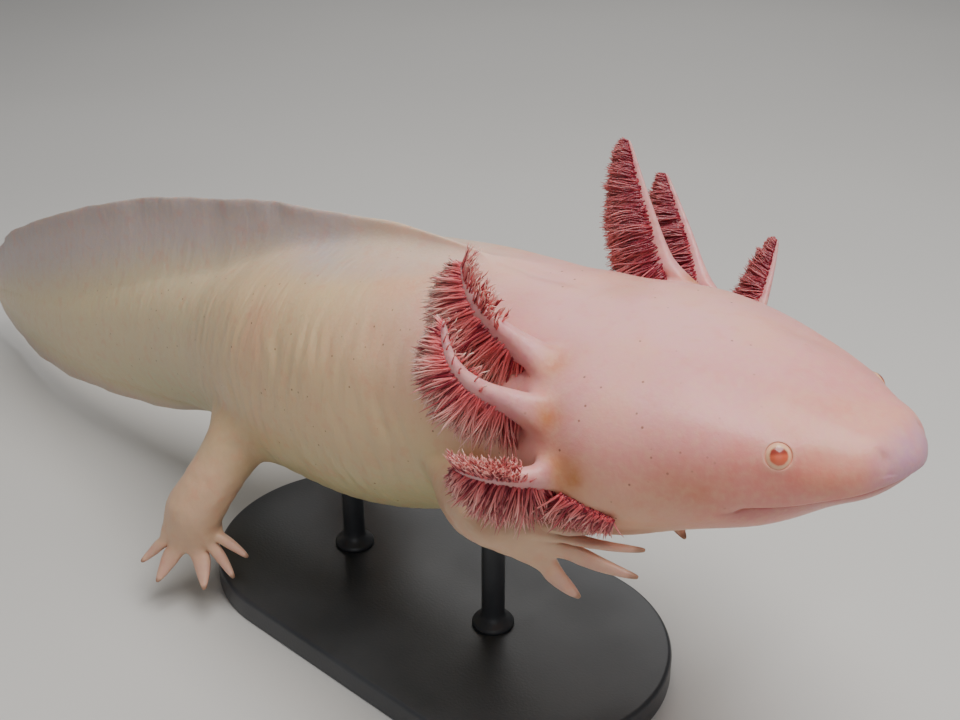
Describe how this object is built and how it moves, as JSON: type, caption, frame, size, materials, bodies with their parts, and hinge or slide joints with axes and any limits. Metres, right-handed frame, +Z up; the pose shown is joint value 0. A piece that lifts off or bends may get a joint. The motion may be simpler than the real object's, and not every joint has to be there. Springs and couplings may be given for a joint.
{
  "type": "axolotl figure",
  "caption": "Life-size pale pink axolotl swimming with raised feathery gills, hanging legs and a finned tail, held over a flat display base by short rods.",
  "frame": {"origin": "centre of the underside of the display stand's base, on the floor", "axes": "+X along the trunk towards the head, +Y to the animal's left, +Z up"},
  "size_m": [0.2434, 0.0706, 0.089],
  "materials": {
    "flesh": "satin, moist skin of the head and neck",
    "trunk": "satin, moist cream skin",
    "fin": "satin, thin translucent fin",
    "limb": "satin, pink skin of the legs",
    "gill": "satin, deep red plume",
    "eye": "glossy eyeball",
    "stand": "satin dark paint"
  },
  "bodies": {
    "root": {"arm_left_lower": "limb", "arm_left_upper": "limb", "arm_right_lower": "limb", "arm_right_upper": "limb", "eye_left": "eye", "eye_right": "eye", "fin_back": "fin", "fin_tail_lower": "fin", "fin_tail_upper": "fin", "foot_left": "limb", "foot_right": "limb", "gill_left_lower": "gill", "gill_left_middle": "gill", "gill_left_upper": "gill", "gill_right_lower": "gill", "gill_right_middle": "gill", "gill_right_upper": "gill", "hand_left": "limb", "hand_right": "limb", "head": "flesh", "leg_left_lower": "limb", "leg_left_upper": "limb", "leg_right_lower": "limb", "leg_right_upper": "limb", "lower_jaw": "flesh", "neck": "flesh", "pelvis": "trunk", "stand_base": "stand", "stand_rod_front": "stand", "stand_rod_rear": "stand", "tail_end": "trunk", "tail_middle": "trunk", "tail_root": "trunk", "trunk_front": "trunk", "trunk_middle": "trunk", "trunk_rear": "trunk"}
  },
  "joints": []
}
